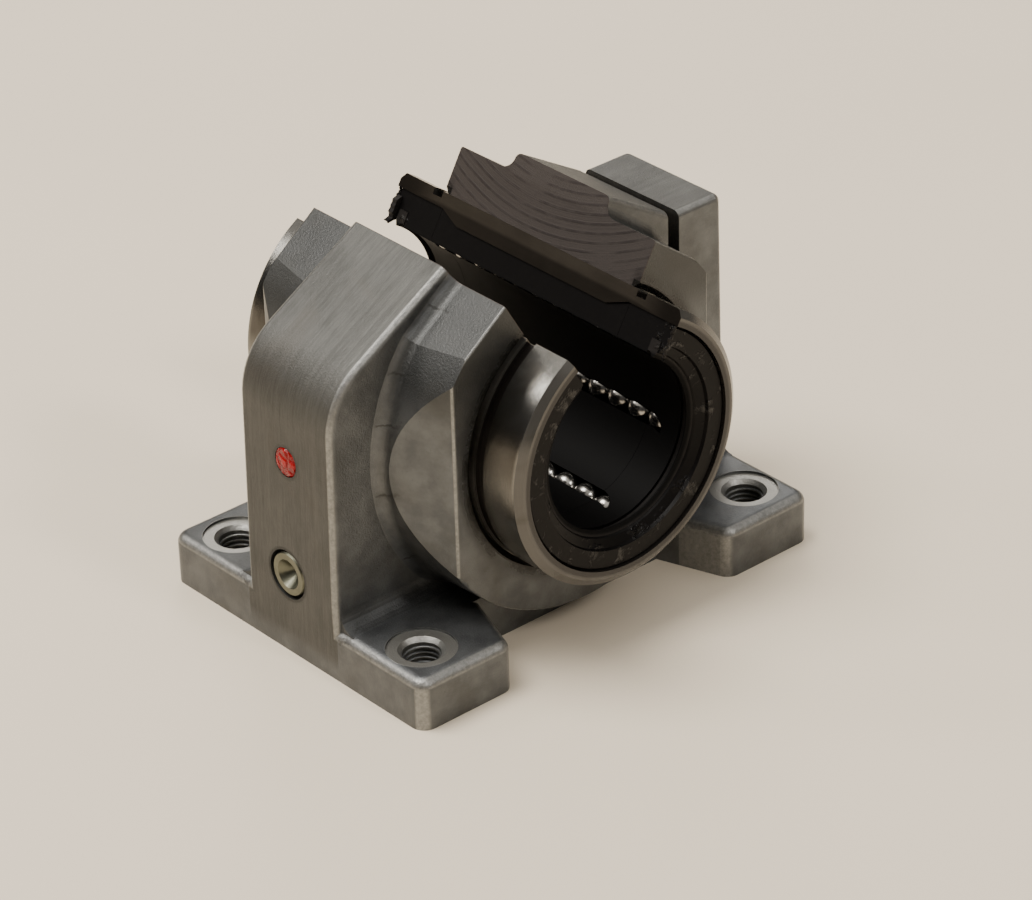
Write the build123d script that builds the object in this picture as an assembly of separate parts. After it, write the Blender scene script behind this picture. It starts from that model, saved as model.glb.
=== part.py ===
from build123d import *
import math
import os

# Open, adjustable pillow block with an open linear ball bushing for a 25 mm shaft.
# Millimetres. Origin: centre of the foot's underside. +X across the foot towards the clamping slot,
# +Y along the shaft, +Z up.

os.makedirs("parts", exist_ok=True)

# ---- shaft and bushing ----
AXIS_Z = 30.0          # bore axis above the foot
SHAFT_R = 12.5
SLEEVE_R = 20.0
SLEEVE_L = 58.0
SLEEVE_BORE_R = 16.3   # inner wall between the end rings
POCKET_R = 17.8        # counterbore at each end for the end ring
CONE_Y0, CONE_Y1 = 15.5, 19.3      # cone between the inner wall and the counterbore
GROOVE_R = 19.0        # retaining-ring grooves
GROOVE_OUT = 44.1      # outer wall to outer wall
GROOVE_W = 1.85
OPEN_HALF = 30.0       # half angle of the opening, degrees
CAGE_GAP = 0.05
CAGE_R = 12.8          # bore of the cage and end rings
CAGE_HALF = 19.42
END_FACE = 28.6        # end ring's outer face
SEAL_Y0, SEAL_Y1, SEAL_GROOVE_R = 25.4, 27.2, 15.0
LIP_R = 12.56

# ---- ball circuits ----
BALL_R = 1.985
LOAD_R = SHAFT_R + 0.06 + BALL_R   # radius of the loaded balls' centres
RETURN_R = 15.55                   # radius of the returning balls' centres
CIRCUIT_ANGLES = (30.0, -30.0, -90.0, -150.0, 150.0)   # middle of each circuit, from +X
CIRCUIT_HALF = 13.0                # loaded row at +13 degrees, returning row at -13 degrees
ROW_COUNT = 9
ROW_PITCH = 4.08
TURN_START = CAGE_HALF             # where the straight track becomes the turn
TURN_STEP = 73.0                   # degrees between the three balls of a turn
TURN_TILT = 8.0                    # the turns lean away from the shaft, degrees
LOAD_TRACK_R = 2.03
RETURN_TRACK_R = 2.12
TURN_TRACK_R = 2.08

# ---- housing ----
FOOT_X, FOOT_Y, FOOT_H = 72.4, 54.4, 7.7
HOLE_X, HOLE_Y, HOLE_R = 60.0, 40.0, 2.7
SPOT_R, SPOT_D = 4.9, 0.35
POCKET_MOUTH, POCKET_BACK, POCKET_Y = 20.3, 16.4, 16.2   # recess between two feet
RIB_HALF = 9.6
SLOPE_ANGLE = 30.6     # fall of the shoulder, degrees
SLOPE_DIST = 29.6      # shoulder plane to bore axis
SHOULDER_R = 11.0
BLOCK_TOP = 48.8
SLOT_X0, SLOT_X1, SLOT_Z = 25.4, 27.4, 34.0
BARREL_HALF = 20.0
BARREL_R, BARREL_RIB_R = 27.3, 27.6
FLAT_DIST, FLAT_ANGLE = 26.7, 37.0
BEVEL_X, BEVEL_SLOPE = 22.85, 0.56
COVE_R = 2.0
BORE_GAP = 0.02

# ---- screws and nipple, all on the X axis direction ----
NIPPLE_Z, NIPPLE_Y, NIPPLE_HOLE_R, NIPPLE_HOLE_L = 12.5, 0.6, 3.7, 6.6
LOCATE_Z, LOCATE_HOLE_R = 30.3, 2.2
NIPPLE_BALL_R, NIPPLE_BALL_X = 1.1, -33.2
ADJUST_Z, ADJUST_HOLE_R = 40.0, 2.5


def tube(r_out, r_in, y0, y1, x=0.0, z=AXIS_Z):
    """Hollow or solid cylinder along Y between y0 and y1."""
    place = Plane(origin=(x, y0, z), z_dir=(0, 1, 0))
    body = extrude(place * Circle(r_out), y1 - y0)
    if r_in > 0:
        cut = Plane(origin=(x, y0 - 1, z), z_dir=(0, 1, 0))
        body -= extrude(cut * Circle(r_in), y1 - y0 + 2)
    return body


def rod_x(radius, x0, x1, y, z):
    """Cylinder along X between x0 and x1."""
    return extrude(Plane(origin=(x0, y, z), z_dir=(1, 0, 0)) * Circle(radius), x1 - x0)


def prism_xz(points, y0, y1):
    """Polygon in the XZ plane, extruded along Y."""
    face = make_face(Polyline(*[(px, y0, pz) for px, pz in points], close=True))
    return extrude(face, amount=y1 - y0, dir=(0, 1, 0))


def wedge(half_angle, reach=60.0, y_half=60.0, side=0.0):
    """Opening above the bore: a wedge with its edge on the bore axis, faces moved out by side."""
    a = math.radians(half_angle)
    dx, dz = math.sin(a) * reach, math.cos(a) * reach
    low = side / math.sin(a)
    return prism_xz([(0, AXIS_Z - low), (dx, AXIS_Z - low + dz), (-dx, AXIS_Z - low + dz)], -y_half, y_half)


def polar(radius, angle):
    """X and Z of a point around the bore axis; angle from +X in degrees."""
    a = math.radians(angle)
    return radius * math.cos(a), AXIS_Z + radius * math.sin(a)


def revolve_y(points):
    """Ring turned about the bore axis from (radius, y) points."""
    face = make_face(Polyline(*[(r, y, AXIS_Z) for r, y in points], close=True))
    return revolve(face, axis=Axis((0, 0, AXIS_Z), (0, 1, 0)))


def save(shape, name):
    export_step(shape, f"parts/{name}.step")


# ---------------------------------------------------------------- housing
def foot():
    """Base plate: four feet, with a recess between the feet at the front and at the back."""
    hx, hy = FOOT_X / 2, FOOT_Y / 2
    half = [(-hx, 0), (-hx, -hy), (-POCKET_MOUTH, -hy), (-POCKET_BACK, -POCKET_Y),
            (POCKET_BACK, -POCKET_Y), (POCKET_MOUTH, -hy), (hx, -hy), (hx, 0)]
    outline = half + [(px, -py) for px, py in reversed(half)][1:-1]
    plate = extrude(make_face(Polyline(*outline, close=True)), FOOT_H)
    upright = [e for e in plate.edges().filter_by(Axis.Z) if abs(e.center().Y) > hy - 0.1]
    plate = fillet(upright, 2.2)
    top = [e for e in plate.edges() if e.center().Z > FOOT_H - 0.01 and abs(e.center().Y) > POCKET_Y + 0.5]
    return fillet(top, 1.6)


def slope_z(px, inset=0.0):
    """Height of the shoulder slope at px, moved in by inset."""
    s = math.radians(SLOPE_ANGLE)
    return AXIS_Z + (SLOPE_DIST - inset - abs(px) * math.sin(s)) / math.cos(s)


def rib_outline(y, inset=0.0):
    """Rib outline at y: upright flank, rounded shoulder, slope to the opening, block beyond the slot."""
    hx = FOOT_X / 2 - inset
    flank_x = hx - 0.6
    top = BLOCK_TOP - inset
    face = make_face(Polyline(
        (-hx, y, 0), (hx, y, 0), (hx, y, 12), (flank_x, y, top), (SLOT_X1 - 1, y, top),
        (SLOT_X1 - 1, y, 45), (SLOT_X0, y, 45), (SLOT_X0, y, slope_z(SLOT_X0, inset)), (0, y, slope_z(0, inset)),
        (-flank_x, y, slope_z(flank_x, inset)), (-hx, y, 12), close=True))
    shoulder = face.vertices().sort_by_distance((-flank_x, y, slope_z(flank_x, inset)))[0]
    face = fillet(shoulder, SHOULDER_R - inset)
    return fillet(face.vertices().sort_by_distance((flank_x, y, top))[0], 1.2)


def beside(end, points):
    """Cutter section at one end of the barrel, its inner corner rounded to leave a cove on the rib."""
    section = make_face(Polyline(*points, close=True))
    corner = section.vertices().sort_by_distance(points[1])[0]
    return fillet(corner, COVE_R)


def barrel():
    """Barrel round the bore, coved into the rib: slight taper, two flats by the opening, bevelled sides."""
    length = 2 * BARREL_HALF
    body = extrude(rib_outline(-BARREL_HALF, inset=1.0), amount=length, dir=(0, 1, 0))
    far = 70.0
    for end in (1, -1):
        out, rib = end * (BARREL_HALF + 1), end * (RIB_HALF - 0.05)
        flare = beside(end, [(BARREL_R - 0.1, out, AXIS_Z), (BARREL_RIB_R, rib, AXIS_Z),
                             (far, rib, AXIS_Z), (far, out, AXIS_Z)])
        body -= revolve(flare, axis=Axis((0, 0, AXIS_Z), (0, 1, 0)))
        for side in (1, -1):
            flat = beside(end, [(side * FLAT_DIST, out, 0), (side * FLAT_DIST, rib, 0),
                                (side * far, rib, 0), (side * far, out, 0)])
            turn = -side * (90 - FLAT_ANGLE)
            body -= Pos(0, 0, AXIS_Z) * Rot(0, turn, 0) * extrude(flat, 30, both=True)
            start = RIB_HALF + COVE_R
            bevel = Polyline((side * (BEVEL_X - BEVEL_SLOPE), out, -1),
                             (side * (BEVEL_X + BEVEL_SLOPE * (BARREL_HALF - start)), end * start, -1),
                             (side * far, end * start, -1), (side * far, out, -1), close=True)
            body -= extrude(make_face(bevel), 80)
    return body


def rib():
    """Centre rib with rounded edges."""
    body = extrude(rib_outline(-RIB_HALF), amount=2 * RIB_HALF, dir=(0, 1, 0))
    rims = [e for e in body.edges() if e.bounding_box().size.Y < 0.01 and e.center().Z > 1
            and not (SLOT_X0 - 0.5 < e.center().X < SLOT_X1 + 0.5)]
    body = fillet(rims, 1.05)
    cove = 2.4
    strips = []
    for end in (1, -1):
        y = end * (RIB_HALF - 0.5)
        corner = [(y, FOOT_H - 1), (end * (RIB_HALF + cove), FOOT_H - 1), (end * (RIB_HALF + cove), FOOT_H)]
        arc = [(end * (RIB_HALF + cove * (1 - math.sin(math.radians(t)))),
                FOOT_H + cove * (1 - math.cos(math.radians(t)))) for t in range(15, 91, 15)]
        points = corner + arc + [(y, FOOT_H + cove)]
        hx = FOOT_X / 2 - 0.9
        section = make_face(Polyline(*[(-hx, py, pz) for py, pz in points], close=True))
        strips.append(extrude(section, amount=2 * hx, dir=(1, 0, 0)))
    return body + strips[0] + strips[1]


def drilled(body):
    """Bore, opening, clamping slot, bolt holes and screw holes."""
    body -= tube(SLEEVE_R + BORE_GAP, 0, -BARREL_HALF - 1, BARREL_HALF + 1)
    for end in (1, -1):
        mouth = [(0, end * (BARREL_HALF + 0.1)), (SLEEVE_R + 0.9, end * (BARREL_HALF + 0.1)),
                 (SLEEVE_R - 0.2, end * (BARREL_HALF - 1.0)), (0, end * (BARREL_HALF - 1.0))]
        body -= revolve_y(mouth)
    body -= wedge(OPEN_HALF)
    middle = (SLOT_X0 + SLOT_X1) / 2
    gap = SLOT_X1 - SLOT_X0
    body -= Pos(middle, 0, SLOT_Z + 20) * Box(gap, 70, 40)
    body -= tube(gap / 2, 0, -35, 35, x=middle, z=SLOT_Z)
    for px in (-HOLE_X / 2, HOLE_X / 2):
        for py in (-HOLE_Y / 2, HOLE_Y / 2):
            body -= Pos(px, py, FOOT_H / 2) * Cylinder(HOLE_R, FOOT_H + 2)
            body -= Pos(px, py, FOOT_H) * Cylinder(SPOT_R, 2 * SPOT_D)
            body -= Pos(px, py, FOOT_H - SPOT_D - 0.3) * Cone(HOLE_R, HOLE_R + 0.6, 0.6)
    hx = FOOT_X / 2
    body -= rod_x(LOCATE_HOLE_R, -hx - 1, -15, 0, LOCATE_Z)
    body -= rod_x(NIPPLE_HOLE_R, -hx - 1, -hx + NIPPLE_HOLE_L, NIPPLE_Y, NIPPLE_Z)
    body -= rod_x(1.5, -hx + 2, -5, NIPPLE_Y, NIPPLE_Z)
    body -= rod_x(ADJUST_HOLE_R, SLOT_X1 - 1, hx + 1, 0, ADJUST_Z)
    return body


def housing():
    """Die-cast housing in one piece, the rims of the barrel's end faces slightly rounded."""
    body = drilled(rib() + barrel() + foot())
    rims = []
    for edge in body.edges():
        middle = edge.center()
        on_face = edge.bounding_box().size.Y < 0.01 and abs(abs(middle.Y) - BARREL_HALF) < 0.01
        bore_rim = edge.geom_type == GeomType.CIRCLE and edge.radius < SLEEVE_R + 2
        beside_opening = abs(middle.X) < 16 and middle.Z > 46
        if on_face and edge.length > 8 and not bore_rim and not beside_opening:
            rims.append(edge)
    return fillet(rims, 0.4)


# ---------------------------------------------------------------- bushing
def row_centres(angle):
    """Cross-section centres of the loaded and the returning row of the circuit at angle."""
    load = polar(LOAD_R, angle + CIRCUIT_HALF)
    back = polar(RETURN_R, angle - CIRCUIT_HALF)
    return load, back


def turn_frame(angle, end):
    """Centre, radius, direction to the loaded row and direction to the apex of a circuit's turn."""
    (lx, lz), (bx, bz) = row_centres(angle)
    to_load = Vector(lx - bx, 0, lz - bz)
    centre = Vector((lx + bx) / 2, end * TURN_START, (lz + bz) / 2)
    across = to_load.normalized()
    tilt = math.radians(TURN_TILT)
    outward = Vector(0, 1, 0).cross(across)
    apex = Vector(0, end * math.cos(tilt), 0) + outward * math.sin(tilt)
    return centre, to_load.length / 2, across, apex


def track_cutters(y_half, load_r, return_r):
    """Straight tracks of every circuit."""
    cutters = []
    for angle in CIRCUIT_ANGLES:
        for (px, pz), radius in zip(row_centres(angle), (load_r, return_r)):
            cutters.append(tube(radius, 0, -y_half, y_half, px, pz))
    return cutters


def sleeve():
    """Hardened steel sleeve, open at the top, with raceways, relief tracks and ring grooves."""
    half = SLEEVE_L / 2
    ring = [(SLEEVE_BORE_R, CONE_Y0), (POCKET_R, CONE_Y1), (POCKET_R, half), (SLEEVE_R - 1.0, half),
            (SLEEVE_R, half - 0.8), (SLEEVE_R, GROOVE_OUT / 2), (GROOVE_R, GROOVE_OUT / 2),
            (GROOVE_R, GROOVE_OUT / 2 - GROOVE_W), (SLEEVE_R, GROOVE_OUT / 2 - GROOVE_W)]
    body = revolve_y(ring + [(r, -y) for r, y in reversed(ring)])
    for cutter in track_cutters(CONE_Y1 + 0.1, LOAD_TRACK_R, RETURN_TRACK_R):
        body -= cutter
    body -= rod_x(2.0, -SLEEVE_R - 1, -18.5, 0, LOCATE_Z)
    return body - wedge(OPEN_HALF)


def cage():
    """Plastic ball cage; each loaded track breaks through to the bore as a window."""
    half = [(SLEEVE_BORE_R - CAGE_GAP, CONE_Y0), (POCKET_R - CAGE_GAP, CONE_Y1),
            (POCKET_R - CAGE_GAP, CAGE_HALF), (CAGE_R, CAGE_HALF)]
    body = revolve_y(half + [(r, -y) for r, y in reversed(half)])
    for cutter in track_cutters(CAGE_HALF + 1, LOAD_TRACK_R + 0.07, RETURN_TRACK_R):
        body -= cutter
    return body - wedge(OPEN_HALF + 1.0)


def end_ring(end):
    """Plastic end ring: stepped face, seal groove, and the turn of every circuit."""
    y0, face = CAGE_HALF + CAGE_GAP, END_FACE
    outline = [(CAGE_R, y0), (POCKET_R - CAGE_GAP, y0), (POCKET_R - CAGE_GAP, face - 0.35),
               (POCKET_R - 0.4, face), (14.95, face), (14.75, face - 0.5), (13.55, face - 1.15),
               (13.35, SEAL_Y1), (SEAL_GROOVE_R, SEAL_Y1), (SEAL_GROOVE_R, SEAL_Y0), (CAGE_R, SEAL_Y0)]
    body = revolve_y([(r, end * y) for r, y in outline])
    for angle in CIRCUIT_ANGLES:
        centre, radius, across, apex = turn_frame(angle, end)
        body -= Plane(origin=centre, x_dir=across, z_dir=across.cross(apex)) * Torus(radius, TURN_TRACK_R)
    return body - wedge(OPEN_HALF + 1.0)


def lip_seal(end):
    """Rubber lip seal held in the end ring."""
    outline = [(13.2, SEAL_Y0 + 0.04), (SEAL_GROOVE_R - 0.04, SEAL_Y0 + 0.04), (SEAL_GROOVE_R - 0.04, SEAL_Y1 - 0.04),
               (13.3, SEAL_Y1 - 0.04), (LIP_R, SEAL_Y1 - 0.45), (LIP_R, SEAL_Y1 - 0.65), (13.15, SEAL_Y0 + 0.6)]
    return revolve_y([(r, end * y) for r, y in outline]) - wedge(OPEN_HALF + 0.6)


def ball_row(px, pz):
    """Straight row of balls along the shaft direction."""
    first = -(ROW_COUNT - 1) / 2 * ROW_PITCH
    return Compound([Pos(px, first + k * ROW_PITCH, pz) * Sphere(BALL_R) for k in range(ROW_COUNT)])


def ball_turn(angle, end):
    """Three balls in the turn at one end of a circuit."""
    centre, radius, across, apex = turn_frame(angle, end)
    balls = []
    for step in (-TURN_STEP, 0.0, TURN_STEP):
        a = math.radians(step)
        spot = centre + apex * (radius * math.cos(a)) + across * (radius * math.sin(a))
        balls.append(Pos(spot.X, spot.Y, spot.Z) * Sphere(BALL_R))
    return Compound(balls)


# ---------------------------------------------------------------- screws and nipple
def revolve_x(points, y, z):
    """Ring turned about a line along X from (x, radius) points."""
    face = make_face(Polyline(*[(px, y, z + r) for px, r in points], close=True))
    return revolve(face, axis=Axis((0, y, z), (1, 0, 0)))


def hex_socket(size, x0, x1, y, z):
    """Hexagon recess along X, size across flats."""
    place = Plane(origin=(x0, y, z), z_dir=(1, 0, 0))
    return extrude(place * RegularPolygon(size / 2, 6, major_radius=False), x1 - x0)


def locating_screw():
    """Set screw whose point sits in the sleeve's locating hole."""
    r = LOCATE_HOLE_R - 0.05
    points = [(-33.4, 0), (-33.4, r - 0.3), (-33.1, r), (-21.6, r), (-20.6, 1.5), (-18.9, 1.5), (-18.9, 0)]
    return revolve_x(points, 0, LOCATE_Z) - hex_socket(2.5, -34, -31.4, 0, LOCATE_Z)


def lacquer_seal():
    """Drop of sealing lacquer over the locating screw."""
    r = LOCATE_HOLE_R - 0.04
    points = [(-33.5, 0), (-33.5, r), (-35.75, r), (-35.96, 1.9), (-36.08, 1.3), (-36.14, 0.6), (-36.15, 0)]
    return revolve_x(points, 0, LOCATE_Z)


def nipple():
    """Flush funnel-type lubrication nipple."""
    r = NIPPLE_HOLE_R - 0.05
    points = [(-36.1, 2.2), (-36.1, 3.1), (-35.85, 3.3), (-34.6, 3.3), (-34.6, r), (-30.2, r), (-29.8, r - 0.4),
              (-29.8, 0.8), (-30.3, 0.8), (-30.3, 1.3), (-33.6, 1.3), (-33.9, 0.9), (-34.3, 0.9)]
    return revolve_x(points, NIPPLE_Y, NIPPLE_Z)


def nipple_ball():
    """Ball that closes the nipple's funnel."""
    return Pos(NIPPLE_BALL_X, NIPPLE_Y, NIPPLE_Z) * Sphere(NIPPLE_BALL_R)


def nipple_spring():
    """Coil spring behind the nipple ball."""
    wire = 0.16
    x0, x1 = NIPPLE_BALL_X + NIPPLE_BALL_R * 0.82 + wire, -30.3 - wire - 0.03
    coil = Helix(pitch=(x1 - x0) / 3, height=x1 - x0, radius=0.8, center=(x0, NIPPLE_Y, NIPPLE_Z), direction=(1, 0, 0))
    return sweep(Plane(origin=coil @ 0, z_dir=coil % 0) * Circle(wire), path=coil)


def adjusting_tip():
    """Brass pressure tip that spans the clamping slot."""
    points = [(SLOT_X0 + 0.05, 0), (SLOT_X0 + 0.05, 1.5), (SLOT_X0 + 0.3, 1.8), (28.0, 1.8), (28.0, 1.0), (29.6, 1.0), (29.6, 0)]
    return revolve_x(points, 0, ADJUST_Z)


def adjusting_screw():
    """Socket set screw in the block beyond the slot."""
    r = ADJUST_HOLE_R - 0.05
    points = [(28.05, 1.06), (28.05, r - 0.4), (28.4, r), (34.9, r), (35.3, r - 0.4), (35.3, 0), (29.7, 0), (29.7, 1.06)]
    return revolve_x(points, 0, ADJUST_Z) - hex_socket(2.5, 32.6, 36, 0, ADJUST_Z)


# ---------------------------------------------------------------- export
save(housing(), "housing")
save(sleeve(), "outer_sleeve")
save(cage(), "ball_cage")
for name, end in (("front", -1), ("rear", 1)):
    save(end_ring(end), f"end_ring_{name}")
    save(lip_seal(end), f"lip_seal_{name}")
for number, angle in enumerate(CIRCUIT_ANGLES, 1):
    (load_x, load_z), (back_x, back_z) = row_centres(angle)
    save(ball_row(load_x, load_z), f"loaded_balls_{number}")
    save(ball_row(back_x, back_z), f"returning_balls_{number}")
    save(ball_turn(angle, -1), f"front_turn_balls_{number}")
    save(ball_turn(angle, 1), f"rear_turn_balls_{number}")
save(locating_screw(), "locating_screw")
save(lacquer_seal(), "sealing_lacquer")
save(nipple(), "nipple_body")
save(nipple_ball(), "nipple_ball")
save(nipple_spring(), "nipple_spring")
save(adjusting_tip(), "adjusting_tip")
save(adjusting_screw(), "adjusting_screw")
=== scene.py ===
"""Looks of an open ball bushing in an open, adjustable pillow block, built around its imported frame."""

from __future__ import annotations

import logging
import math
from dataclasses import dataclass
from enum import Enum
from typing import Sequence, Union

import bpy
from mathutils import Matrix, Vector


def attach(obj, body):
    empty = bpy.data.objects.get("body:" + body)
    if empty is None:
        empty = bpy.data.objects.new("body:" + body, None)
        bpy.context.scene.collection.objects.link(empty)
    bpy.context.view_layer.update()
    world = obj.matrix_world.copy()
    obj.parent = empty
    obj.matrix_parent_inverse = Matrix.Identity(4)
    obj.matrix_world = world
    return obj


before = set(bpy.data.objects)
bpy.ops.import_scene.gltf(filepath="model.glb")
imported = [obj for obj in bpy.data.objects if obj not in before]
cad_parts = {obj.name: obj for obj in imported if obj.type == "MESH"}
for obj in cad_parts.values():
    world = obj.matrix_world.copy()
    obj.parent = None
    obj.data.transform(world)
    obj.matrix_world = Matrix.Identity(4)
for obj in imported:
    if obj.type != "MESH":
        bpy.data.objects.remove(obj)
LOG = logging.getLogger("pillow_block")
MM = 0.001
AXIS_Z = 30.0  # bore axis above the foot
OPEN_HALF = math.radians(30.0)  # half angle of the opening
THREAD_SIDES = 3
THREAD_STEPS = 28
Number = Union[int, float]
Rgb = tuple[float, float, float]
Point = tuple[float, float, float]


class End(Enum):
    """The two ends of the bushing, by the sign of Y."""

    FRONT = -1
    REAR = 1


# ------------------------------------------------------------------ node trees
class Wire:
    """A node output that takes part in Python arithmetic."""

    def __init__(self, tree: "Tree", socket: bpy.types.NodeSocket) -> None:
        """Keep the socket and the tree it belongs to."""
        self.tree = tree
        self.socket = socket

    def _op(self, operation: str, first: "Term", second: "Term") -> "Wire":
        """Add one Math node on two terms."""
        return self.tree.node("ShaderNodeMath", {"operation": operation}, {0: first, 1: second})

    def __add__(self, other: "Term") -> "Wire":
        """Sum."""
        return self._op("ADD", self, other)

    __radd__ = __add__

    def __sub__(self, other: "Term") -> "Wire":
        """Difference."""
        return self._op("SUBTRACT", self, other)

    def __rsub__(self, other: "Term") -> "Wire":
        """Reflected difference."""
        return self._op("SUBTRACT", other, self)

    def __mul__(self, other: "Term") -> "Wire":
        """Product."""
        return self._op("MULTIPLY", self, other)

    __rmul__ = __mul__

    def __truediv__(self, other: "Term") -> "Wire":
        """Quotient."""
        return self._op("DIVIDE", self, other)

    def __rtruediv__(self, other: "Term") -> "Wire":
        """Reflected quotient."""
        return self._op("DIVIDE", other, self)

    def __neg__(self) -> "Wire":
        """Negative."""
        return self._op("MULTIPLY", self, -1.0)

    def __abs__(self) -> "Wire":
        """Size without sign."""
        return self._op("ABSOLUTE", self, 0.0)

    def sqrt(self) -> "Wire":
        """Square root."""
        return self._op("SQRT", self, 0.0)

    def sin(self) -> "Wire":
        """Sine."""
        return self._op("SINE", self, 0.0)

    def atan2(self, other: "Term") -> "Wire":
        """Angle whose tangent is self over other."""
        return self._op("ARCTAN2", self, other)

    def most(self, other: "Term") -> "Wire":
        """Larger of two."""
        return self._op("MAXIMUM", self, other)

    def rise(self, low: Number, high: Number) -> "Wire":
        """Smooth step.

        Args:
            low: value that gives 0.
            high: value that gives 1, above low.

        Returns:
            The step, between 0 and 1.
        """
        return self.tree.node("ShaderNodeMapRange", {"interpolation_type": "SMOOTHSTEP"},
                              {"Value": self, "From Min": low, "From Max": high})

    def fall(self, low: Number, high: Number) -> "Wire":
        """Smooth step from 1 at low down to 0 at high."""
        return 1.0 - self.rise(low, high)

    def band(self, low: Number, high: Number, soft: Number) -> "Wire":
        """1 between low and high, with soft edges inside."""
        return self.rise(low, low + soft) * self.fall(high - soft, high)


Term = Union[Wire, Number, Sequence[float], bpy.types.ID]


class Tree:
    """A node tree that is built from Python."""

    def __init__(self, tree: bpy.types.NodeTree) -> None:
        """Keep the tree."""
        self.tree = tree

    def feed(self, socket: bpy.types.NodeSocket, value: Term) -> None:
        """Link or set one input.

        Args:
            socket: the input.
            value: a wire, a number, a colour, a vector or a material.
        """
        if isinstance(value, Wire):
            self.tree.links.new(value.socket, socket)
        elif isinstance(value, (tuple, list)) and len(value) == 3 and socket.type == "RGBA":
            socket.default_value = (*value, 1.0)
        else:
            socket.default_value = value

    def node(self, kind: str, settings: dict | None = None, inputs: dict | None = None,
             out: int | str = 0) -> Wire:
        """Add a node.

        Args:
            kind: node type name.
            settings: attributes, set before the inputs; "stops" fills a colour ramp.
            inputs: socket name or index to value or wire.
            out: output name or index that is returned.

        Returns:
            The wanted output.
        """
        made = self.tree.nodes.new(kind)
        for key, value in (settings or {}).items():
            if key == "stops":
                ramp = made.color_ramp
                while len(ramp.elements) < len(value):
                    ramp.elements.new(1.0)
                for element, (place, colour) in zip(ramp.elements, value):
                    element.position = place
                    element.color = (*colour, 1.0)
            else:
                setattr(made, key, value)
        for key, value in (inputs or {}).items():
            self.feed(made.inputs[key], value)
        return Wire(self, made.outputs[out])

    def vector(self, x: Term, y: Term, z: Term) -> Wire:
        """Vector from three values."""
        return self.node("ShaderNodeCombineXYZ", inputs={0: x, 1: y, 2: z})

    def axes(self, vector: Wire) -> tuple[Wire, Wire, Wire]:
        """X, Y and Z of a vector."""
        outs = self.node("ShaderNodeSeparateXYZ", inputs={0: vector}).socket.node.outputs
        return Wire(self, outs[0]), Wire(self, outs[1]), Wire(self, outs[2])


class Shade(Tree):
    """One material's node tree, with places in millimetres."""

    def __init__(self, name: str) -> None:
        """Start an empty tree with its output and a Principled shader."""
        self.material = bpy.data.materials.new(name)
        self.material.use_nodes = True
        super().__init__(self.material.node_tree)
        self.tree.nodes.clear()
        output = self.tree.nodes.new("ShaderNodeOutputMaterial")
        self.shader = self.tree.nodes.new("ShaderNodeBsdfPrincipled")
        self.tree.links.new(self.shader.outputs[0], output.inputs["Surface"])
        metres = self.node("ShaderNodeTexCoord", out="Object")
        self.place = self.node("ShaderNodeVectorMath", {"operation": "SCALE"}, {0: metres, "Scale": 1000.0})
        self.x, self.y, self.z = self.axes(self.place)
        self.nx, self.ny, self.nz = self.axes(self.node("ShaderNodeTexCoord", out="Normal"))
        self.up = self.z - AXIS_Z
        self.reach = (self.x * self.x + self.up * self.up).sqrt()

    def noise(self, vector: Wire, scale: Term, detail: Number = 3.0, rough: Number = 0.55,
              warp: Number = 0.0) -> Wire:
        """Noise between 0 and 1."""
        return self.node("ShaderNodeTexNoise", inputs={
            "Vector": vector, "Scale": scale, "Detail": detail, "Roughness": rough, "Distortion": warp})

    def cells(self, vector: Wire, scale: Number) -> Wire:
        """Distance to the edge of irregular cells."""
        return self.node("ShaderNodeTexVoronoi", {"feature": "DISTANCE_TO_EDGE"},
                         {"Vector": vector, "Scale": scale})

    def blend(self, mask: Term, low: Term, high: Term) -> Wire:
        """Mix two colours by a mask."""
        made = self.node("ShaderNodeMix", {"data_type": "RGBA", "clamp_factor": True},
                         {"Factor": mask}, out=2)
        self.feed(made.socket.node.inputs[6], low)
        self.feed(made.socket.node.inputs[7], high)
        return made

    def bump(self, height: Term, depth: Number, under: Wire | None = None) -> Wire:
        """Bump from a height.

        Args:
            height: the height, 0 to 1.
            depth: millimetres from 0 to 1.
            under: a bump that lies below this one.

        Returns:
            The normal.
        """
        inputs = {"Height": height, "Distance": depth * MM}
        if under is not None:
            inputs["Normal"] = under
        return self.node("ShaderNodeBump", None, inputs)

    def cut_face(self) -> Wire:
        """Mask of the two faces that bound the opening, which lie on planes through the bore axis."""
        offset = abs(self.x) * math.cos(OPEN_HALF) - self.up * math.sin(OPEN_HALF)
        return abs(offset).fall(0.05, 0.12) * self.up.rise(6.0, 7.0)

    def finish(self, **sockets: Term) -> bpy.types.Material:
        """Feed the Principled shader; underscores in a name stand for spaces.

        Args:
            sockets: shader socket names and their values.

        Returns:
            The material.
        """
        for key, value in sockets.items():
            self.feed(self.shader.inputs[key.replace("_", " ")], value)
        return self.material


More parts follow.
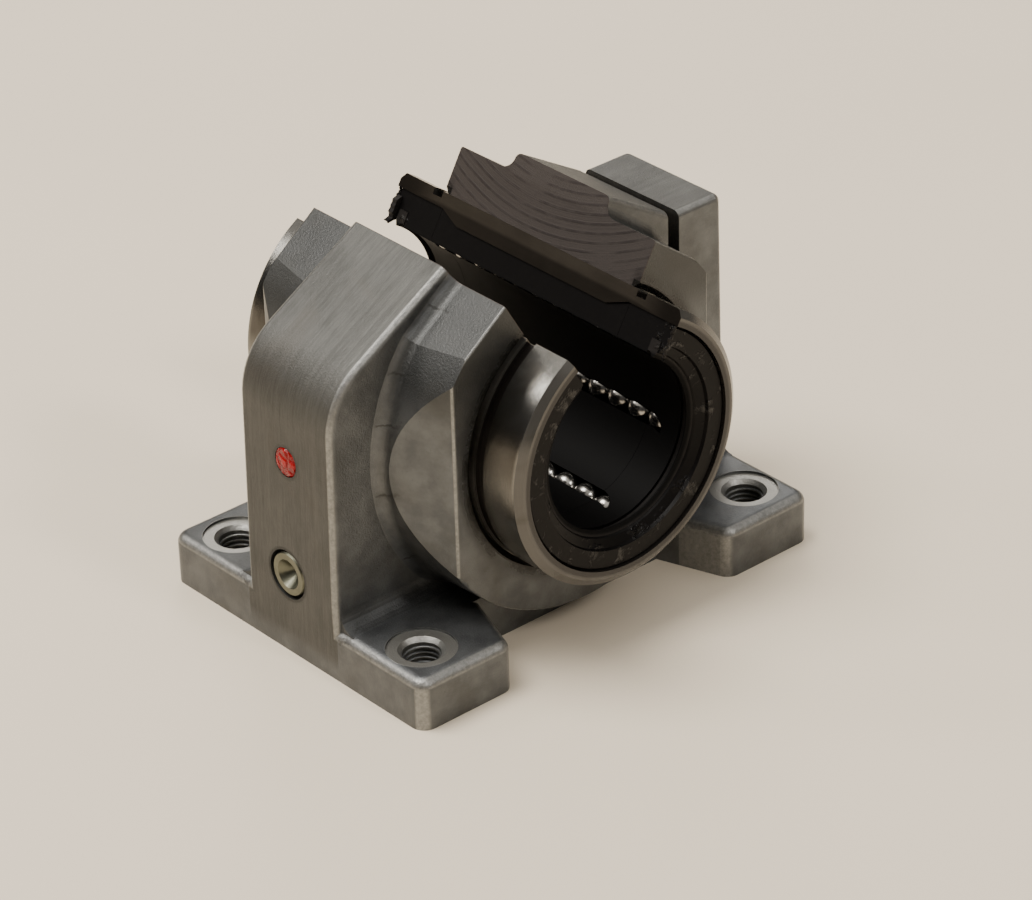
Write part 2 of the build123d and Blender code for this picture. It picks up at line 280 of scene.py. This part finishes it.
class Recipe(Tree):
    """A Geometry Nodes tree with named sizes, in millimetres."""

    def __init__(self, name: str) -> None:
        """Start an empty tree."""
        super().__init__(bpy.data.node_groups.new(name, "GeometryNodeTree"))
        self.tree.interface.new_socket("Shape", in_out="OUTPUT", socket_type="NodeSocketGeometry")
        self.source = self.tree.nodes.new("NodeGroupInput")
        self.sink = self.tree.nodes.new("NodeGroupOutput")

    def size(self, name: str, kind: str = "Float") -> Wire:
        """Add a named input.

        Args:
            name: its name.
            kind: Float, Int or Vector.

        Returns:
            Its wire.
        """
        self.tree.interface.new_socket(name, in_out="INPUT", socket_type="NodeSocket" + kind)
        return Wire(self, self.source.outputs[name])

    def make(self, name: str, shape: Wire, material: bpy.types.Material, **sizes: Term) -> bpy.types.Object:
        """Evaluate the tree and keep the result as a plain mesh.

        Args:
            name: the piece's name.
            shape: the geometry.
            material: its finish.
            sizes: values of the named inputs.

        Returns:
            The new object, at the origin.
        """
        real = self.node("GeometryNodeRealizeInstances", inputs={"Geometry": shape})
        dressed = self.node("GeometryNodeSetMaterial", inputs={"Geometry": real, "Material": material})
        self.tree.links.new(dressed.socket, self.sink.inputs[0])
        carrier = bpy.data.objects.new(name + "_carrier", bpy.data.meshes.new(name + "_carrier"))
        bpy.context.scene.collection.objects.link(carrier)
        modifier = carrier.modifiers.new("shape", "NODES")
        modifier.node_group = self.tree
        for item in self.tree.interface.items_tree:
            if item.in_out == "INPUT":
                modifier[item.identifier] = sizes[item.name]
        graph = bpy.context.evaluated_depsgraph_get()
        mesh = bpy.data.meshes.new_from_object(carrier.evaluated_get(graph))
        carrier.modifiers.remove(modifier)
        bpy.data.objects.remove(carrier)
        mesh.transform(Matrix.Scale(MM, 4))
        piece = bpy.data.objects.new(name, mesh)
        bpy.context.scene.collection.objects.link(piece)
        LOG.info("made %s, %d faces", name, len(mesh.polygons))
        return piece


def dress(material: bpy.types.Material, *nodes: str) -> None:
    """Give CAD nodes a material in their own slots.

    Args:
        material: the finish.
        nodes: CAD node names.
    """
    for name in nodes:
        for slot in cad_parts[name].material_slots:
            slot.material = material
        LOG.info("dressed %s with %s", name, material.name)


def join(piece: bpy.types.Object, body: str) -> None:
    """Let a made piece ride on a body."""
    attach(piece, body)


# ------------------------------------------------------------------ finishes
@dataclass(frozen=True)
class CastAluminium:
    """Warm grey die-cast aluminium: linished rib, grainy cast skin, milled opening, turned spot faces."""

    skin: Rgb = (0.100, 0.105, 0.109)
    pale: Rgb = (0.158, 0.165, 0.170)
    # darker skin colour: painted shade on the rib's flanks and on the barrel's top beside the rib; also
    # darkens the rear left foot's top
    oiled: Rgb = (0.050, 0.050, 0.047)
    # colour of the painted highlight on rounded edges
    edge_highlight: Rgb = (0.34, 0.34, 0.325)
    linished: Rgb = (0.112, 0.112, 0.106)
    milled: Rgb = (0.082, 0.071, 0.066)
    groove: Rgb = (0.034, 0.028, 0.029)
    # dark colour for grime and oil, and for painted shade in the bore gap, the slot and the inner corner
    grime_and_shade: Rgb = (0.012, 0.011, 0.009)
    spot: Rgb = (0.28, 0.275, 0.255)
    stain: Rgb = (0.075, 0.072, 0.062)
    warm: Rgb = (0.105, 0.092, 0.078)
    well: Rgb = (0.20, 0.195, 0.18)
    hole: tuple[float, float] = (30.0, 20.0)
    spot_r: float = 4.9
    slot_x: float = 26.4
    nipple: tuple[float, float, float] = (0.6, 12.5, 3.8)
    lacquer: tuple[float, float, float] = (0.0, 30.3, 2.3)
    mill_centre: tuple[float, float] = (64.0, 3.0)
    mill_step: float = 1.3
    witness: tuple[float, ...] = (130.0, 151.0, 166.0, 188.0, 213.0)

    def highlit_edges(self, g: Shade) -> Wire:
        """Mask of rounded edges, where a highlight is painted."""
        rib = abs(g.y).band(8.5, 9.66, 0.06) * abs(g.ny).band(0.12, 0.985, 0.2)
        rib = rib * g.reach.rise(26.0, 27.5)
        foot = g.z.rise(5.9, 6.6) * g.z.fall(7.7, 7.8) * g.nz.band(0.1, 0.985, 0.2)
        corner = (abs(g.nx) * abs(g.ny)).rise(0.2, 0.46) * abs(g.y).rise(24.6, 25.6)
        corner = corner * abs(g.x).rise(33.6, 34.4)
        barrel = abs(g.y).rise(19.55, 19.7) * abs(g.ny).band(0.2, 0.985, 0.2) * g.reach.rise(21.6, 22.0)
        block = g.x.rise(34.0, 34.8) * g.z.rise(47.2, 48.0) * abs(g.nx).band(0.15, 0.985, 0.2)
        return rib.most(foot).most(corner).most(barrel).most(block)

    def creases(self, g: Shade) -> Wire:
        """Mask of dark witness lines that cross the cove beside the rib."""
        marks: Wire | None = None
        wander = (g.noise(g.place, 0.8, 2) - 0.5) * 1.6
        near = abs(g.y).rise(9.62, 9.8) * abs(g.y).fall(11.4, 13.6)
        for angle in self.witness:
            c, s = math.cos(math.radians(angle)), math.sin(math.radians(angle))
            across = abs(g.x) * s + g.up * c
            along = -abs(g.x) * c + g.up * s
            line = abs(across + wander + (abs(g.y) - 10.0) * 0.25).fall(0.05, 0.3) * along.rise(20.0, 22.0)
            marks = line if marks is None else marks.most(line)
        return marks * near * g.noise(g.place, 1.1, 2).rise(0.3, 0.5)

    def ring(self, g: Shade, spot: tuple[float, float, float]) -> Wire:
        """Mask of the dirt round a plug in the flank."""
        y, z = g.y - spot[0], g.z - spot[1]
        return abs((y * y + z * z).sqrt() - spot[2]).fall(0.12, 0.5) * (-g.x).rise(34.5, 35.4)

    def build(self) -> bpy.types.Material:
        """Build the material."""
        g = Shade("cast_aluminium")
        side, flat = abs(g.y), abs(g.ny)
        mottle = g.noise(g.place, 0.22, 4, 0.6)
        blotch = g.noise(g.place, 0.09, 3, 0.6, 0.6)
        grain = g.noise(g.place, 3.4, 4, 0.65)
        pits = g.noise(g.place, 1.2, 3, 0.7).rise(0.62, 0.72)
        streak = g.noise(g.vector(g.x * 0.35, g.y * 6.5, g.z * 0.35), 1.0, 5, 0.75)
        coarse = g.noise(g.vector(g.x * 0.05, g.y * 1.4, g.z * 0.05), 1.0, 3, 0.6)

        skin = g.blend(mottle.rise(0.3, 0.7), self.skin, self.pale)
        skin = g.blend(pits * 0.5, skin, self.skin)
        skin = g.blend(blotch.rise(0.45, 0.75) * 0.35, skin, self.stain)
        rear_foot = g.nz.rise(0.6, 0.95) * g.z.fall(8.0, 9.0) * (-g.x).rise(20.0, 24.0) * g.y.rise(4.0, 12.0)
        skin = g.blend(rear_foot * 0.5, skin, self.oiled)
        # painted shade: the cast skin beside the rib is darker towards the top
        skin = g.blend(side.rise(9.6, 10.4) * g.up.rise(7.0, 15.0) * (0.5 + mottle * 0.35), skin, self.oiled)

        rubbed = side.fall(9.5, 9.7) * flat.fall(0.2, 0.5) * g.reach.rise(26.0, 27.0) * g.z.rise(1.0, 4.0)
        lines = (streak * 0.65 + coarse * 0.35).rise(0.32, 0.68)
        lit = lines * 0.7 + g.noise(g.place, 0.16, 3, 0.6).rise(0.3, 0.7) * 0.3
        brushed = g.blend(lit, tuple(c * 0.66 for c in self.linished), tuple(c * 1.3 for c in self.linished))
        brushed = g.blend(blotch.rise(0.5, 0.8) * 0.4, brushed, self.warm)
        # painted shade: the rib's side faces, picked by their normal, are darker
        brushed = g.blend(abs(g.nx).rise(0.8, 0.98) * 0.3, brushed, self.oiled)
        colour = g.blend(rubbed, skin, brushed)

        hx, hy = abs(g.x) - self.hole[0], side - self.hole[1]
        hole = (hx * hx + hy * hy).sqrt()
        turned = hole.fall(self.spot_r - 0.02, self.spot_r + 0.1) * g.z.rise(6.7, 7.1) * g.nz.rise(0.5, 0.7)
        rings = g.noise(g.vector(hole * 5.0, 0.0, 0.0), 1.0, 3, 0.7)
        colour = g.blend(turned, colour, g.blend(rings, self.spot, tuple(c * 1.3 for c in self.spot)))
        well = hole.fall(2.75, 2.85) * g.nz.fall(0.3, 0.5)
        colour = g.blend(well, colour, self.well)

        # painted highlight along the rounded edges, broken up by noise
        edge_highlight = self.highlit_edges(g) * (g.noise(g.place, 1.6, 4, 0.75).rise(0.2, 0.8) * 0.7 + 0.3)
        colour = g.blend(edge_highlight, colour, self.edge_highlight)

        cut = g.cut_face() * g.reach.rise(19.9, 20.05)
        along = abs(g.x) * math.sin(OPEN_HALF) + g.up * math.cos(OPEN_HALF) - self.mill_centre[0]
        off = g.y - self.mill_centre[1]
        sweep = (along * along + off * off).sqrt()
        patchy = g.noise(g.place, 0.12, 2)
        arcs = (sweep * (2 * math.pi / self.mill_step) + patchy * 1.8).sin().rise(0.2, 1.0)
        fine = g.noise(g.vector(sweep * 7.0, 0.0, 0.0), 1.0, 3, 0.7)
        deep = arcs * patchy.rise(0.35, 0.6) * (g.noise(g.place, 0.5, 2).rise(0.3, 0.6) * 0.6 + 0.4)
        milled = g.blend(fine, tuple(c * 0.7 for c in self.milled), tuple(c * 1.45 for c in self.milled))
        colour = g.blend(cut, colour, g.blend(deep * 0.55, milled, self.groove))

        dark = self.creases(g) * 0.6
        dark = dark.most(self.ring(g, self.nipple) * 0.75).most(self.ring(g, self.lacquer) * 0.45)
        mouth = g.reach.fall(20.9, 23.4) * side.rise(18.0, 19.3) * (mottle.rise(0.25, 0.6))
        dark = dark.most(mouth * (1.0 - cut))
        # painted shade in the gap where the sleeve leaves the bore, with a smoother, oily finish
        bore = g.reach.fall(20.95, 21.1) * side.rise(18.6, 18.9)
        # painted shade and oil inside the adjusting slot
        slot = abs(g.x - self.slot_x).fall(1.02, 1.12) * g.z.rise(32.0, 33.5) * g.z.fall(47.8, 48.6)
        # painted shade in the inner corner where the rib meets the foot
        corner = side.band(9.55, 12.0, 0.4) * g.z.band(7.2, 9.6, 0.5) * 0.45
        dark = dark.most(bore).most(slot * 0.92).most(corner)
        colour = g.blend(dark, colour, self.grime_and_shade)

        rough = 0.37 + mottle * 0.10 + rubbed * 0.09 - edge_highlight * 0.05 - turned * 0.06 + cut * 0.08
        rough = rough - mouth.most(bore) * 0.25
        relief = g.bump((grain * 0.7 + mottle * 0.3) * (1.0 - cut * 0.85), 0.10)
        scratch = rubbed * streak * 0.8 + turned * rings * 0.5 + cut * (deep * 0.3 + fine * 0.45)
        relief = g.bump(scratch, 0.045, relief)
        return g.finish(Base_Color=colour, Metallic=0.86 - dark * 0.5, Roughness=rough, Normal=relief)


@dataclass(frozen=True)
class GroundSteel:
    """Hardened bearing steel: ground outside, sawn and oily on the opening's faces."""

    tone: Rgb = (0.215, 0.21, 0.195)
    sawn: Rgb = (0.098, 0.084, 0.067)
    # colour of the painted dark reflection band on the sleeve's left side
    film: Rgb = (0.040, 0.035, 0.029)
    stain: Rgb = (0.10, 0.088, 0.072)
    # oil colour, also used for painted shade where the sleeve leaves the housing
    oil: Rgb = (0.012, 0.010, 0.009)

    def build(self) -> bpy.types.Material:
        """Build the material."""
        g = Shade("bearing_steel")
        side = abs(g.y)
        turn = g.up.atan2(g.x) * g.reach
        lines = g.noise(g.vector(g.y * 9.0, turn * 0.12, 0.0), 1.0, 4, 0.7)
        stain = g.noise(g.place, 0.16, 3, 0.6, 0.8)
        colour = g.blend(lines, tuple(c * 0.82 for c in self.tone), tuple(c * 1.15 for c in self.tone))
        colour = g.blend(stain.rise(0.5, 0.72) * 0.5, colour, self.stain)
        # painted reflection: a dark band along the sleeve's left side
        patch = g.up.band(-1.0, 12.0, 5.0) * (-g.x).rise(10.0, 16.0) * side.fall(27.5, 28.2)
        colour = g.blend(patch * (0.45 + stain * 0.5), colour, self.film)
        cut = g.cut_face()
        smear = g.noise(g.vector(g.x * 0.3, g.y * 0.08, g.z * 0.3), 1.0, 4, 0.6)
        sawn = g.blend(smear, tuple(c * 0.55 for c in self.sawn), tuple(c * 1.35 for c in self.sawn))
        wet = side.rise(19.0, 27.0).most(g.reach.fall(17.9, 18.6) * 0.8)
        colour = g.blend(cut, colour, g.blend(wet * 0.8, sawn, self.oil))
        ringed = (abs(side - 21.1).fall(0.9, 1.05) * g.reach.fall(19.6, 19.95) * g.reach.rise(18.8, 18.95))
        # painted shade on the sleeve where it leaves the housing's bore
        near = side.fall(19.8, 21.0) * g.reach.rise(19.8, 19.95)
        rim = side.rise(28.05, 28.25) * (0.55 + g.reach.fall(18.3, 18.8) * 0.4)
        dark = ringed.most(near * 0.6).most(rim) * (1.0 - cut)
        colour = g.blend(dark, colour, self.oil)
        rough = 0.13 + lines * 0.10 + stain * 0.06 + cut * 0.20 - dark * 0.04
        return g.finish(Base_Color=colour, Metallic=1.0 - dark * 0.8, Roughness=rough,
                        Normal=g.bump(lines * (1.0 - cut) + smear * cut, 0.012))


@dataclass(frozen=True)
class OiledBlack:
    """Black plastic or rubber under a film of oil that gathers in drops and streaks."""

    name: str
    tone: Rgb = (0.0022, 0.0019, 0.0019)
    # darker colour for painted shade inside the bore
    bore_shade: Rgb = (0.0006, 0.0005, 0.0005)
    film: float = 0.05
    dry: float = 0.42
    wetness: float = 1.0
    gloss: float = 0.12

    def build(self) -> bpy.types.Material:
        """Build the material."""
        g = Shade(self.name)
        g.shader.inputs["Specular IOR Level"].default_value = self.gloss
        pool = g.noise(g.place, 0.35, 4, 0.6, 0.5)
        drops = g.noise(g.place, 1.3, 3, 0.6)
        wet = pool.rise(0.54, 0.68) * g.reach.rise(13.1, 13.8) * abs(g.y).rise(23.0, 25.0) * self.wetness
        colour = g.blend(drops, self.tone, tuple(c * 2.2 for c in self.tone))
        relief = g.bump((pool * 0.85 + drops * 0.15) * wet, self.film * 6)
        # painted shade: the bushing's bore surfaces are darker
        bore = g.reach.fall(12.9, 13.3)
        colour = g.blend(bore, colour, self.bore_shade)
        rough = self.dry + bore * 0.2 - wet * (self.dry - 0.12)
        return g.finish(Base_Color=colour, Roughness=rough, Normal=relief, Coat_Weight=wet * 0.5)


@dataclass(frozen=True)
class Polished:
    """A plain metal with a fine grain and a few stains."""

    name: str
    tone: Rgb
    stain: Rgb
    rough: float = 0.3
    share: float = 0.4
    metal: float = 1.0

    def build(self) -> bpy.types.Material:
        """Build the material."""
        g = Shade(self.name)
        grain = g.noise(g.place, 3.0, 4, 0.6)
        patch = g.noise(g.place, 0.5, 3, 0.6).rise(0.4, 0.75) * self.share
        tone = g.blend(grain, tuple(c * 0.85 for c in self.tone), tuple(c * 1.15 for c in self.tone))
        return g.finish(Base_Color=g.blend(patch, tone, self.stain), Metallic=self.metal,
                        Roughness=grain * 0.12 + (self.rough - 0.06), Normal=g.bump(grain, 0.012))


@dataclass(frozen=True)
class Lacquer:
    """Sealing lacquer that dried with a crumpled skin."""

    deep: Rgb = (0.17, 0.003, 0.004)
    bright: Rgb = (0.42, 0.006, 0.010)

    def build(self) -> bpy.types.Material:
        """Build the material."""
        g = Shade("red_lacquer")
        folds = g.cells(g.place, 0.55).rise(0.0, 0.28)
        swell = g.noise(g.place, 0.9, 3, 0.6)
        colour = g.blend(folds * 0.5 + swell * 0.5, self.deep, self.bright)
        g.shader.inputs["Specular IOR Level"].default_value = 0.3
        return g.finish(Base_Color=colour, Roughness=swell * 0.12 + 0.18,
                        Normal=g.bump(folds * 0.5 + swell * 0.5, 0.55))


@dataclass(frozen=True)
class PaleFloor:
    """Matt pale floor with a faint cloudy unevenness."""

    tone: Rgb = (0.81, 0.71, 0.565)

    def build(self) -> bpy.types.Material:
        """Build the material."""
        g = Shade("pale_floor")
        cloud = g.noise(g.place, 0.012, 3, 0.5)
        colour = g.blend(cloud, tuple(c * 0.95 for c in self.tone), tuple(c * 1.04 for c in self.tone))
        return g.finish(Base_Color=colour, Roughness=0.8)


# ------------------------------------------------------------------ sub-assemblies
@dataclass
class Housing:
    """The pillow block: its finish and the threads in its four foot holes."""

    hole_x: float = 60.0
    hole_y: float = 40.0
    thread_r: float = 2.68
    pitch: float = 0.8
    ridge: float = 0.36
    low: float = 0.5
    height: float = 5.9

    def threads(self, finish: bpy.types.Material) -> None:
        """Run one helical ridge up the wall of every foot hole.

        Args:
            finish: the housing's material.
        """
        recipe = Recipe("foot_hole_thread")
        radius, rise = recipe.size("Thread Radius"), recipe.size("Height")
        turns, ridge = recipe.size("Turns"), recipe.size("Ridge")
        span_x, span_y = recipe.size("Hole Spacing X"), recipe.size("Hole Spacing Y")
        low = recipe.size("Low End")
        helix = recipe.node("GeometryNodeCurveSpiral", None, {
            "Resolution": THREAD_STEPS, "Rotations": turns, "Start Radius": radius, "End Radius": radius,
            "Height": rise})
        profile = recipe.node("GeometryNodeCurvePrimitiveCircle", {"mode": "RADIUS"},
                              {"Resolution": THREAD_SIDES, "Radius": ridge})
        coil = recipe.node("GeometryNodeCurveToMesh", None,
                           {"Curve": helix, "Profile Curve": profile, "Fill Caps": True})
        grid = recipe.node("GeometryNodeMeshGrid", None,
                           {"Size X": span_x, "Size Y": span_y, "Vertices X": 2, "Vertices Y": 2})
        raised = recipe.node("GeometryNodeTransform", None,
                             {"Geometry": grid, "Translation": recipe.vector(0.0, 0.0, low)})
        placed = recipe.node("GeometryNodeInstanceOnPoints", None, {"Points": raised, "Instance": coil})
        piece = recipe.make("foot_hole_threads", placed, finish, **{
            "Thread Radius": self.thread_r, "Height": self.height, "Turns": self.height / self.pitch,
            "Ridge": self.ridge, "Hole Spacing X": self.hole_x, "Hole Spacing Y": self.hole_y,
            "Low End": self.low})
        join(piece, "housing")

    def build(self) -> None:
        """Dress the housing and cut its threads."""
        finish = CastAluminium().build()
        dress(finish, "housing")
        self.threads(finish)


@dataclass
class Bushing:
    """The open ball bushing: steel sleeve, cage, end rings, seals, balls and the oil on them."""

    ring_face: float = 28.6
    bead_count: int = 26
    bead_r: float = 0.3
    bead_span: tuple[float, float] = (12.9, 17.5)
    bead_way: tuple[float, float] = (0.515, 0.857)
    bead_sink: float = 0.1
    seed: int = 4
    tail_y: tuple[float, float] = (27.6, 28.5)

    def oil_beads(self, oil: bpy.types.Material) -> None:
        """Set drops of thick oil along the cut edges of the end rings.

        Args:
            oil: their finish.
        """
        for end in End:
            recipe = Recipe(f"oil_beads_{end.name.lower()}")
            count, size, seed = recipe.size("Count", "Int"), recipe.size("Drop"), recipe.size("Seed", "Int")
            inner, outer = recipe.size("Start", "Vector"), recipe.size("End", "Vector")
            line = recipe.node("GeometryNodeCurvePrimitiveLine", {"mode": "POINTS"},
                               {"Start": inner, "End": outer})
            spots = recipe.node("GeometryNodeCurveToPoints", {"mode": "COUNT"},
                                {"Curve": line, "Count": count})
            shift = recipe.node("FunctionNodeRandomValue", {"data_type": "FLOAT_VECTOR"},
                                {0: (-0.22, -0.12, -0.3), 1: (0.22, 0.12, 0.3), "Seed": seed})
            moved = recipe.node("GeometryNodeSetPosition", None, {"Geometry": spots, "Offset": shift})
            drop = recipe.node("GeometryNodeMeshIcoSphere", None, {"Radius": size, "Subdivisions": 2})
            swell = recipe.node("FunctionNodeRandomValue", {"data_type": "FLOAT_VECTOR"},
                                {0: (0.5, 0.35, 0.6), 1: (1.1, 0.6, 1.7), "Seed": seed + 1})
            placed = recipe.node("GeometryNodeInstanceOnPoints", None,
                                 {"Points": moved, "Instance": drop, "Scale": swell})
            y = end.value * (self.ring_face - self.bead_sink)
            first, last = ((r * self.bead_way[0], y, AXIS_Z + r * self.bead_way[1]) for r in self.bead_span)
            piece = recipe.make(f"oil_beads_{end.name.lower()}", placed, oil, **{
                "Count": self.bead_count, "Drop": self.bead_r, "Seed": self.seed + end.value,
                "Start": first, "End": last})
            join(piece, "housing")

    def seal_tail(self, rubber: bpy.types.Material) -> None:
        """Ragged tail of seal and oil at the rear end of the opening.

        Args:
            rubber: its finish.
        """
        outline = [(7.4, 41.1), (6.7, 41.2), (6.1, 41.1), (5.55, 41.35), (6.1, 41.5), (6.5, 41.65),
                   (6.55, 42.1), (6.45, 42.5), (6.85, 42.9), (6.95, 43.3), (7.25, 43.6), (7.4, 44.1),
                   (8.4, 44.4), (8.6, 42.6)]
        low, high = self.tail_y
        count = len(outline)
        points = [(x, low, z) for x, z in outline] + [(x, high, z) for x, z in outline]
        walls = [(k, k + count, (k + 1) % count + count, (k + 1) % count) for k in range(count)]
        faces = [tuple(range(count)), tuple(reversed(range(count, 2 * count)))] + walls
        mesh = bpy.data.meshes.new("seal_tail")
        mesh.from_pydata([tuple(v * MM for v in point) for point in points], [], faces)
        mesh.materials.append(rubber)
        piece = bpy.data.objects.new("seal_tail", mesh)
        bpy.context.scene.collection.objects.link(piece)
        join(piece, "housing")

    def build(self) -> None:
        """Dress every piece and add the oil."""
        dress(GroundSteel().build(), "outer_sleeve")
        plastic = OiledBlack("black_plastic").build()
        rubber = OiledBlack("black_rubber", tone=(0.009, 0.008, 0.0075), dry=0.5).build()
        dress(plastic, "ball_cage", "end_ring_front", "end_ring_rear")
        dress(rubber, "lip_seal_front", "lip_seal_rear")
        balls = [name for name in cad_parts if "balls_" in name]
        polish = Polished("ball_steel", (0.40, 0.39, 0.37), (0.04, 0.036, 0.03), rough=0.20, share=0.5)
        dress(polish.build(), "nipple_ball", *balls)
        self.oil_beads(rubber)
        self.seal_tail(rubber)


@dataclass
class Fittings:
    """Locating screw, lacquer, lubrication nipple and adjusting screw."""

    screw_r: float = 2.45
    screw_x: tuple[float, float] = (28.7, 34.8)
    pitch: float = 0.8
    ridge: float = 0.3
    sink: float = 0.26
    adjust_z: float = 40.0

    def screw_thread(self, finish: bpy.types.Material) -> None:
        """Run a thread round the adjusting screw.

        Args:
            finish: the screw's material.
        """
        recipe = Recipe("set_screw_thread")
        radius, length, turns = recipe.size("Thread Radius"), recipe.size("Length"), recipe.size("Turns")
        start = recipe.size("Start", "Vector")
        helix = recipe.node("GeometryNodeCurveSpiral", None, {
            "Resolution": THREAD_STEPS, "Rotations": turns, "Start Radius": radius, "End Radius": radius,
            "Height": length})
        profile = recipe.node("GeometryNodeCurvePrimitiveCircle", {"mode": "RADIUS"},
                              {"Resolution": THREAD_SIDES, "Radius": self.ridge})
        coil = recipe.node("GeometryNodeCurveToMesh", None,
                           {"Curve": helix, "Profile Curve": profile, "Fill Caps": True})
        laid = recipe.node("GeometryNodeTransform", None,
                           {"Geometry": coil, "Translation": start, "Rotation": (0.0, math.pi / 2, 0.0)})
        span = self.screw_x[1] - self.screw_x[0]
        piece = recipe.make("adjusting_screw_thread", laid, finish, **{
            "Thread Radius": self.screw_r - self.sink, "Length": span, "Turns": span / self.pitch,
            "Start": (self.screw_x[0], 0.0, self.adjust_z)})
        join(piece, "adjusting_screw")

    def build(self) -> None:
        """Dress the fittings and cut the screw's thread."""
        dress(Lacquer().build(), "sealing_lacquer")
        plating = Polished("plated_steel", (0.15, 0.152, 0.115), (0.05, 0.05, 0.032), rough=0.34)
        dress(plating.build(), "nipple_body")
        dress(Polished("spring_steel", (0.5, 0.49, 0.47), (0.2, 0.17, 0.14)).build(), "nipple_spring")
        black = Polished("black_steel", (0.05, 0.05, 0.05), (0.02, 0.018, 0.016), rough=0.38).build()
        dress(black, "locating_screw", "adjusting_screw")
        dress(Polished("brass", (0.62, 0.43, 0.16), (0.2, 0.13, 0.05), rough=0.28).build(), "adjusting_tip")
        self.screw_thread(black)


@dataclass
class Studio:
    """Pale floor, soft lights and the camera."""

    eye: Point = (-331.9, -394.3, 319.2)
    azimuth: float = -40.55
    elevation: float = 30.27
    roll: float = -1.65
    focal: float = 4268.28
    centre: tuple[float, float] = (519.78, 444.78)
    frame_size: tuple[int, int] = (1032, 900)
    sensor: float = 36.0
    floor_half: float = 6.0
    sky: float = 1.0
    lamp_tone: Rgb = (1.0, 0.955, 0.895)
    low_tone: Rgb = (0.10, 0.095, 0.09)
    high_tone: Rgb = (0.98, 0.93, 0.86)

    def camera(self) -> None:
        """Set the camera at the viewing angle."""
        a, e, r = (math.radians(v) for v in (self.azimuth, self.elevation, self.roll))
        back = Vector((math.sin(a) * math.cos(e), -math.cos(a) * math.cos(e), math.sin(e)))
        right = Vector((0, 0, 1)).cross(back).normalized()
        up = back.cross(right)
        c, s = math.cos(r), math.sin(r)
        x_axis, y_axis = c * right + s * up, -s * right + c * up
        width, height = self.frame_size
        data = bpy.data.cameras.new("camera")
        data.sensor_width = self.sensor
        data.lens = self.sensor * self.focal / width
        data.shift_x = (width / 2 - self.centre[0]) / width
        data.shift_y = (self.centre[1] - height / 2) / width
        data.clip_start, data.clip_end = 0.01, 50
        eye = bpy.data.objects.new("camera", data)
        turn = Matrix((x_axis, y_axis, back)).transposed().to_4x4()
        eye.matrix_world = Matrix.Translation(Vector(self.eye) * MM) @ turn
        bpy.context.scene.collection.objects.link(eye)
        bpy.context.scene.camera = eye

    def floor(self) -> None:
        """Lay the floor."""
        mesh = bpy.data.meshes.new("floor")
        h = self.floor_half
        mesh.from_pydata([(-h, -h, 0), (h, -h, 0), (h, h, 0), (-h, h, 0)], [], [(0, 1, 2, 3)])
        floor = bpy.data.objects.new("floor", mesh)
        bpy.context.scene.collection.objects.link(floor)
        mesh.materials.append(PaleFloor().build())

    def lamp(self, name: str, spot: Point, size: float, watts: float) -> None:
        """One soft area light that looks at the object.

        Args:
            name: its name.
            spot: its place in metres.
            size: diameter in metres.
            watts: its power.
        """
        data = bpy.data.lights.new(name, "AREA")
        data.shape, data.size, data.energy, data.color = "DISK", size, watts, self.lamp_tone
        lamp = bpy.data.objects.new(name, data)
        aim = Vector((0, 0, AXIS_Z * MM)) - Vector(spot)
        lamp.matrix_world = Matrix.Translation(spot) @ aim.to_track_quat("-Z", "Y").to_matrix().to_4x4()
        bpy.context.scene.collection.objects.link(lamp)

    def build(self) -> None:
        """Set everything up."""
        self.camera()
        self.floor()
        world = bpy.data.worlds.new("studio")
        world.use_nodes = True
        sky = Tree(world.node_tree)
        height = sky.axes(sky.node("ShaderNodeTexCoord", out="Generated"))[2]
        tones = sky.node("ShaderNodeValToRGB",
                         {"stops": ((0.5, self.low_tone), (0.85, self.high_tone))}, {0: height})
        backdrop = world.node_tree.nodes["Background"]
        sky.feed(backdrop.inputs[0], tones)
        backdrop.inputs[1].default_value = self.sky
        bpy.context.scene.world = world
        self.lamp("key", (-0.45, 0.35, 1.45), 0.9, 27)
        self.lamp("front", (0.2, -1.4, 1.3), 0.3, 9)
        self.lamp("back right", (0.95, 1.15, 0.85), 0.7, 6)
        self.lamp("window", (-0.75, 1.05, 0.95), 0.35, 3)


def main() -> None:
    """Build the studio and every sub-assembly."""
    logging.basicConfig(level=logging.INFO, format="%(message)s")
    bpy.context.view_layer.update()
    for part in (Studio(), Housing(), Bushing(), Fittings()):
        part.build()
        LOG.info("built %s", type(part).__name__)


if __name__ == "__main__":
    main()
